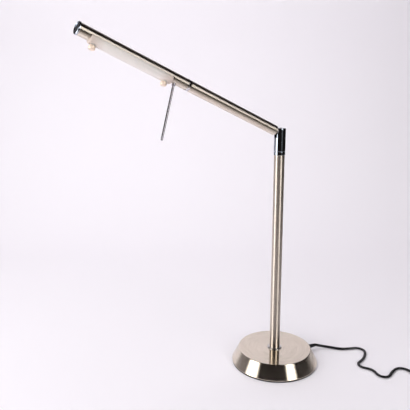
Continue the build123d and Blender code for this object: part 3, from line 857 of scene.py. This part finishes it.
def hand_over(tree, copies, given, result):
    """Makes one mesh of a tree's copies, in the finish it was given, and passes it to its output."""
    whole = add(tree, "GeometryNodeRealizeInstances", {"Geometry": copies.outputs["Instances"]})
    coated = add(
        tree,
        "GeometryNodeSetMaterial",
        {"Geometry": whole.outputs["Geometry"], "Material": given.outputs["Finish"]},
    )
    tree.links.new(coated.outputs["Geometry"], result.inputs["Geometry"])


def grown(name, tree, sizes, finish, place):
    """The plain mesh that a geometry tree gives for these sizes, put in its place."""
    piece = put(name, bpy.data.meshes.new(name), finish)
    step = piece.modifiers.new("grown", "NODES")
    step.node_group = tree
    for socket in tree.interface.items_tree:
        if socket.in_out == "INPUT":
            step[socket.identifier] = finish if socket.name == "Finish" else sizes[socket.name]
    plain_mesh(piece).transform(place)
    return piece


knurl, given, result = node_tree(
    "knurl_ridges",
    {
        "Ridges": "NodeSocketInt",
        "Radius": "NodeSocketFloat",
        "Ridge Radius": "NodeSocketFloat",
        "Length": "NodeSocketFloat",
        "Finish": "NodeSocketMaterial",
    },
)
ring = add(
    knurl,
    "GeometryNodeMeshCircle",
    {"Vertices": given.outputs["Ridges"], "Radius": given.outputs["Radius"]},
)
ridge = add(
    knurl,
    "GeometryNodeMeshCylinder",
    {"Vertices": 6, "Radius": given.outputs["Ridge Radius"], "Depth": given.outputs["Length"]},
)
ridges = add(
    knurl,
    "GeometryNodeInstanceOnPoints",
    {"Points": ring.outputs["Mesh"], "Instance": ridge.outputs["Mesh"]},
)
hand_over(knurl, ridges, given, result)

RIM_RADIUS = 4.6
RIM_MIDDLE = 15.6
for number, place in enumerate(NUT_PLACES, 1):
    nut = spin(
        f"thumb_nut_{number}",
        [
            (0, 12.5),
            (3.55, 12.5, 0.2),
            (3.55, 13.5),
            (RIM_RADIUS, 13.9, 0.2),
            (RIM_RADIUS, 17.4),
            (3.85, 18.3, 0.3),
            (0, 18.3),
        ],
        brass,
        across_head(place),
        ring=False,
        steps=72,
    )
    if number == 1:
        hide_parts("thumb_nuts")
    ridged = grown(
        f"thumb_nut_knurl_{number}",
        knurl,
        {"Ridges": 24, "Radius": 4.45 * MM, "Ridge Radius": 0.3 * MM, "Length": 3.0 * MM},
        brass,
        across_head(place) @ Matrix.Translation((0, 0, RIM_MIDDLE * MM)),
    )
    for piece in (nut, ridged):
        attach(piece, "head")


# Handle: a thin drawn rod with a domed end, chromed, to roll the head by.
# It is screwed into the head's tube behind a small chromed ferrule.
# Thin chrome plate: greyer and more neutral than the plate on the larger turned pieces.
thin_chrome = grained("thin_chrome_plate", "#aba8af", "#a19ea5", *POLISHED)
outline = rod(1.75, 7, 96.0, 1.2)
handle = spin("handle_chrome_rod", outline, thin_chrome, HANDLE, ring=False, steps=64)
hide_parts("handle_rod")
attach(handle, "head")
outline = [(1.78, 7.6), (2.9, 7.6), (2.9, 11.6, 0.7), (1.78, 11.6)]
ferrule = spin("handle_chrome_ferrule", outline, thin_chrome, HANDLE, steps=64)
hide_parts("handle_ferrule")
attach(ferrule, "head")


# Gland: a moulded rubber sleeve through the rear of the cover, with a flange outside and a ringed taper
# that keeps the flex from kinking.
GLAND_TURN = radians(-10.0)
GLAND_Z = 9.0
GLAND_TAPER, GLAND_END = 82, 97.0
# Moulded rubber: dull black, a little dusty.
rubber = grained("moulded_black_rubber", "#0e0e10", "#161618", (0.5, 0.65), 0.8, 0.15)
outline = [(0, 70), (4.0, 70), (4.0, 73), (5.4, 73), (5.4, 80.5, 0.6), (4.0, GLAND_TAPER)]
for k in range(5):
    groove = 83.5 + 2.6 * k
    size = 4.0 - 1.3 * (groove - GLAND_TAPER) / (GLAND_END - GLAND_TAPER)
    outline += [(size, groove), (size - 0.5, groove + 0.3)]
    outline += [(size - 0.55, groove + 1.0), (size - 0.1, groove + 1.3)]
outline += [(2.7, GLAND_END, 0.3), (0, GLAND_END)]
raised = Matrix.Translation((0, 0, GLAND_Z * MM))
lying = Matrix.Rotation(GLAND_TURN, 4, "Z") @ raised @ Matrix.Rotation(pi / 2, 4, "Y")
gland = spin("cord_gland_sleeve", outline, rubber, lying, ring=False, steps=64)
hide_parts("cord_gland")
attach(gland, "stand")


# In-line switch: two moulded shells with rounded ends, screwed together round the flex, with a dished
# rocker on two trunnions over a brass contact block.
SWITCH = Vector((163.0, -237.0, 0))
SWITCH_HALF_LENGTH = 26
SWITCH_HALF_WIDTH = 12
SWITCH_HEIGHT = 14
SWITCH_CORD_Z = 6.5
ROCKER_LEAN = radians(6)
ROCKER_HALF_LENGTH = 9.3
ROCKER_HALF_WIDTH = 4.8
at_switch = Matrix.Translation(SWITCH * MM)


def oblong(inset, height):
    """Points round the switch's plan, which has half-round ends, drawn in by an inset, in mm."""
    r = SWITCH_HALF_WIDTH - inset
    turns = [tau * (k + 0.5) / 64 for k in range(64)]
    straight = SWITCH_HALF_LENGTH - SWITCH_HALF_WIDTH
    return [(r * cos(t), r * sin(t) + (straight if sin(t) > 0 else -straight), height) for t in turns]


quarter = [pi / 2 * k / 6 for k in range(7)]
low = [oblong(2.5 * (1 - cos(t)), 2.5 * (1 - sin(t))) for t in reversed(quarter)]
low += [oblong(0, 6.85), oblong(0.3, 7.0)]
switch_base = loft("switch_base_shell", low, black_plastic, at_switch)
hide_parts("switch_base")
high = [oblong(0.3, 7.1), oblong(0, 7.25)]
high += [oblong(3 * (1 - cos(t)), SWITCH_HEIGHT - 3 * (1 - sin(t))) for t in quarter]
switch_top = loft("switch_top_shell", high, black_plastic, at_switch)
cut(switch_top, block((0, 0, 12.5), (10.4, 20, 9), at_switch))
ease(switch_top, 0.25)
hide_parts("switch_top")
switch_pieces = [switch_base, switch_top]
sleeve = [(0, 23.4), (5.2, 23.4), (4.75, 28.0), (4.35, 28.3), (4.35, 28.9), (4.65, 29.2)]
sleeve += [(4.2, 32.0, 0.5), (0, 32.0)]
for number, turn in enumerate((-pi / 2, pi / 2), 1):
    along = at_switch @ Matrix.Translation((0, 0, SWITCH_CORD_Z * MM)) @ Matrix.Rotation(turn, 4, "X")
    ringed = spin(f"switch_sleeve_{number}", sleeve, black_plastic, along, ring=False, steps=64)
    switch_pieces.append(ringed)
for piece in switch_pieces:
    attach(piece, "stand")

places = [ROCKER_HALF_LENGTH - 2 * ROCKER_HALF_LENGTH * k / 24 for k in range(25)]
dish = [(y, min(44.2 - sqrt(40**2 - y**2), 5.0)) for y in places]
outline = [(-ROCKER_HALF_LENGTH, -2.5), (ROCKER_HALF_LENGTH, -2.5)] + dish
sides = [[(x, y, z) for y, z in outline] for x in (-ROCKER_HALF_WIDTH, ROCKER_HALF_WIDTH)]
at_rocker = at_switch @ Matrix.Translation((0, 0, 10.5 * MM)) @ Matrix.Rotation(ROCKER_LEAN, 4, "X")
rocker = loft("switch_rocker_key", sides, black_plastic, at_rocker)
ease(rocker, 0.5)
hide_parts("switch_rocker")
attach(rocker, "rocker")
dress(brass, "switch_contacts")


# Plug: a flat two-pin plug moulded onto the flex, with a waisted grip, finger ribs and a ringed relief.
# Its brass pins are plated bright, and sleeved in black for half their length.
PLUG = Vector((242.2, -268.0, 7.1))
RELIEF_LENGTH = 26
at_plug = Matrix.Translation(PLUG * MM)
lying = at_plug @ Matrix.Rotation(-pi / 2, 4, "X")
# Each row gives a place along the plug, and its half width and half thickness there.
PLUG_SIDE = [
    (24, 3.5, 5.0),
    (24.6, 4.9, 6.2),
    (26, 6.6, 6.9),
    (29, 8.4, 7),
    (34, 8.9, 7),
    (40, 9.6, 7),
    (44, 11.4, 7),
    (48, 13.6, 7),
    (52, 15.5, 7),
    (55, 16.6, 7),
    (58.4, 17.3, 7),
    (59.4, 17.2, 6.9),
    (60, 16.6, 6.4),
]


def grip_loop(y, half_width, half_thick):
    """Points round the plug's rounded section at a place along it, in mm."""
    r = min(2.6, half_width * 0.6)
    corners = [(1, 1, 0), (-1, 1, 1), (-1, -1, 2), (1, -1, 3)]
    points = []
    for side, up, quarter_turn in corners:
        for k in range(7):
            t = pi / 2 * (quarter_turn + k / 6)
            points.append((side * (half_width - r) + r * cos(t), y, up * (half_thick - r) + r * sin(t)))
    return points


plug_body = loft("plug_moulded_body", [grip_loop(*row) for row in PLUG_SIDE], black_plastic, at_plug)
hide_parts("plug_body")
outline = [(0, 0), (2.9, 0, 0.3)]
for k in range(6):
    groove = 3.0 + 3.4 * k
    size = 2.9 + 1.7 * groove / RELIEF_LENGTH
    outline += [(size, groove), (size - 0.5, groove + 0.4)]
    outline += [(size - 0.45, groove + 1.4), (size + 0.08, groove + 1.8)]
outline += [(4.6, RELIEF_LENGTH), (0, RELIEF_LENGTH)]
relief = spin("plug_ringed_relief", outline, black_plastic, lying, ring=False, steps=64)

ribs, given, result = node_tree(
    "finger_ribs",
    {
        "Ribs": "NodeSocketInt",
        "Step": "NodeSocketVector",
        "Rib Radius": "NodeSocketFloat",
        "Length": "NodeSocketFloat",
        "Finish": "NodeSocketMaterial",
    },
)
row = add(ribs, "GeometryNodeMeshLine", {"Count": given.outputs["Ribs"], "Offset": given.outputs["Step"]})
rib = add(
    ribs,
    "GeometryNodeMeshCylinder",
    {"Vertices": 12, "Radius": given.outputs["Rib Radius"], "Depth": given.outputs["Length"]},
)
laid = add(ribs, "GeometryNodeTransform", {"Geometry": rib.outputs["Mesh"], "Rotation": (0, pi / 2, 0)})
ribbed = add(
    ribs,
    "GeometryNodeInstanceOnPoints",
    {"Points": row.outputs["Mesh"], "Instance": laid.outputs["Geometry"]},
)
hand_over(ribs, ribbed, given, result)
plug_pieces = [plug_body, relief]
RIB_START, RIB_HEIGHT = 29.5, 6.3
sizes = {"Ribs": 5, "Step": (0, 2.6 * MM, 0), "Rib Radius": 0.7 * MM, "Length": 11 * MM}
for name, height in (("plug_ribs_upper", RIB_HEIGHT), ("plug_ribs_lower", -RIB_HEIGHT)):
    first_rib = at_plug @ Matrix.Translation((0, RIB_START * MM, height * MM))
    plug_pieces.append(grown(name, ribs, sizes, black_plastic, first_rib))
for piece in plug_pieces:
    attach(piece, "stand")
PIN_OFFSET = 9.25
for number, side in enumerate((-PIN_OFFSET, PIN_OFFSET), 1):
    pin_axis = at_plug @ Matrix.Translation((side * MM, 0, 0)) @ Matrix.Rotation(-pi / 2, 4, "X")
    pin = spin(f"plug_pin_{number}", rod(2, 69, 79, 1.0), chrome, pin_axis, ring=False, steps=48)
    if number == 1:
        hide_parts("plug_pins")
    outline = rod(1.95, 60, 70, 0.2)
    pin_sleeve = spin(
        f"plug_pin_sleeve_{number}", outline, black_plastic, pin_axis, ring=False, steps=48
    )
    for piece, finish in ((pin, "chrome"), (pin_sleeve, "black_moulding")):
        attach(piece, "stand")
        plug_pieces.append(piece)


# Tie: a woven strap round the coil's turns, closed on itself.
# It keeps the put-away length of the flex together.
TIE_X = 202.6
TIE_NEAR, TIE_FAR = -312.4, -335.2
TIE_LOW, TIE_HIGH = 0.9, 10.5
TIE_HALF_WIDTH = 4.0
TIE_THICK = 0.8

# Woven nylon: a flat basket weave of black threads, drawn 1.2 mm apart so that it shows.
woven, tree = material("woven_black_nylon")
where = add(tree, "ShaderNodeTexCoord").outputs["Object"]
weave = []
for axis in ("X", "Y"):
    weave.append(
        add(
            tree,
            "ShaderNodeTexWave",
            {"Vector": where, "Scale": pi / (10 * 1.2 * MM), "Distortion": 0.3},
            bands_direction=axis,
        ).outputs["Fac"]
    )
thread = add(tree, "ShaderNodeMath", {0: weave[0], 1: weave[1]}, operation="MULTIPLY").outputs["Value"]
bump = add(tree, "ShaderNodeBump", {"Height": thread, "Strength": 0.5, "Distance": 0.0003})
strap = {
    "Base Color": blend(tree, thread, colour("#0c0c0e"), colour("#26262a")),
    "Roughness": 0.75,
    "Sheen Weight": 0.3,
    "Normal": bump.outputs["Normal"],
}
show(tree, add(tree, "ShaderNodeBsdfPrincipled", strap).outputs["BSDF"])

loops = []
near_side, far_side = TIE_X - TIE_HALF_WIDTH, TIE_X + TIE_HALF_WIDTH
bends = [(TIE_NEAR, TIE_HIGH), (TIE_FAR, TIE_HIGH), (TIE_FAR, TIE_LOW), (TIE_NEAR, TIE_LOW)]
for quarter_turn, (y, z) in enumerate(bends):
    inward = Vector((-1 if y == TIE_NEAR else 1, -1 if z == TIE_HIGH else 1))
    middle = Vector((y, z)) + inward
    for k in range(7):
        turn = pi / 2 * (quarter_turn + k / 6)
        out = Vector((cos(turn), sin(turn)))
        inner, outer = middle + out, middle + out * (1 + TIE_THICK)
        corners = [(near_side, inner), (far_side, inner), (far_side, outer), (near_side, outer)]
        loops.append([(x, *point) for x, point in corners])
tie = loft("cord_tie_strap", loops, woven, ring=True)
ease(tie, 0.2)
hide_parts("cord_tie")
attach(tie, "stand")


# Flex: thin flat two-core cord moulded in soft black PVC, with a groove between its cores.
# It leaves the gland on edge and wanders over the table to the switch. The rest is coiled and tied.
CORD_WIDTH = 5.2
CORD_THICK = 3.4
VISIBLE_WAY = [
    (105.2, -18.6, 5.2),
    (119.5, -34.2, 3.6),
    (132.8, -50.7, 2.4),
    (148.5, -59.3, 2.2),
    (165.5, -66.9, 2.2),
    (165.8, -84.0, 2.2),
    (144.5, -97.5, 2.2),
    (129.7, -102.9, 2.2),
    (114.0, -104.8, 2.2),
    (108.4, -117.7, 2.2),
    (119.3, -135.0, 2.2),
    (108.3, -156.3, 2.2),
    (119.6, -169.0, 2.2),
    (140.3, -160.8, 2.2),
    (160.5, -158.5, 2.2),
    (169.7, -169.2, 2.2),
    (164.8, -189.5, 4.6),
    (SWITCH.x, -199.0, SWITCH_CORD_Z),
    (SWITCH.x, -205.0, SWITCH_CORD_Z),
]
# How far the flex leans from flat at its first points, in degrees: it lies down over them.
FLEX_LEAN = (85, 85, 75, 50, 20)
COIL_Y = -296.0
COIL_OUTER = 36.8
COIL_STEP = 5.6
COIL_HALF_TURNS = 7
COIL_Z = 3.3
COIL_LIFT = 4.8

route = [(GLAND_END * cos(GLAND_TURN), GLAND_END * sin(GLAND_TURN), GLAND_Z)] + VISIBLE_WAY
route += [(SWITCH.x, -269.0, SWITCH_CORD_Z), (SWITCH.x, -275.0, SWITCH_CORD_Z)]
route += [(SWITCH.x, COIL_Y + 10.7, COIL_Z)]
inner = COIL_OUTER - (COIL_HALF_TURNS - 1) * COIL_STEP / 2
inward = [COIL_OUTER - k * COIL_STEP / 2 for k in range(COIL_HALF_TURNS)]
outward = [inner + k * COIL_STEP / 2 for k in range(COIL_HALF_TURNS)]
left = SWITCH.x
for k, radius in enumerate(inward + [inner - COIL_STEP / 2] + outward):
    side = 1 if k % 2 == 0 else -1
    for step in range(8):
        turn = pi * (step + 0.5) / 8
        advance = 1 - cos(turn)
        along = left + side * radius * advance
        rise = COIL_LIFT * (k > COIL_HALF_TURNS) + COIL_LIFT * advance / 2 * (k == COIL_HALF_TURNS)
        route.append((along, COIL_Y - side * radius * sin(turn), COIL_Z + rise))
    left += 2 * radius * side
route += [(PLUG.x, COIL_Y + 11.2, COIL_Z + COIL_LIFT)]
route += [(PLUG.x, PLUG.y - 7, PLUG.z), (PLUG.x, PLUG.y, PLUG.z)]

line = bpy.data.curves.new("flex_line", "CURVE")
line.dimensions = "3D"
line.resolution_u = 8
line.twist_mode = "Z_UP"
spline = line.splines.new("NURBS")
spline.points.add(len(route) - 1)
for point, place in zip(spline.points, route):
    point.co = (*(Vector(place) * MM), 1)
for point, lean in zip(spline.points, FLEX_LEAN):
    point.tilt = radians(lean)
spline.order_u = 3
spline.use_endpoint_u = True
flex_line = bpy.data.objects.new("flex_line", line)
scene.collection.objects.link(flex_line)
bpy.context.view_layer.update()
followed = as_mesh(flex_line)

section = bpy.data.curves.new("flex_section", "CURVE")
outline = section.splines.new("POLY")
core = CORD_THICK / 2
spread = (CORD_WIDTH - CORD_THICK) / 2
lobe = [(spread + core * cos(t), core * sin(t)) for t in [radians(-120 + 20 * k) for k in range(13)]]
lobe += [(-x, -y) for x, y in lobe]
outline.points.add(len(lobe) - 1)
for point, (x, y) in zip(outline.points, lobe):
    point.co = (x * MM, y * MM, 0, 1)
outline.use_cyclic_u = True
flex_section = bpy.data.objects.new("flex_section", section)
scene.collection.objects.link(flex_section)
line.bevel_mode = "OBJECT"
line.bevel_object = flex_section
line.use_fill_caps = True
bpy.context.view_layer.update()
mesh = as_mesh(flex_line)
mesh.shade_smooth()
flex = put("flex_cord", mesh, pvc)
bpy.data.objects.remove(flex_line)
bpy.data.objects.remove(flex_section)
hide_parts("cord_lamp", "cord_link", "cord_coil", "cord_tail")
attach(flex, "stand")
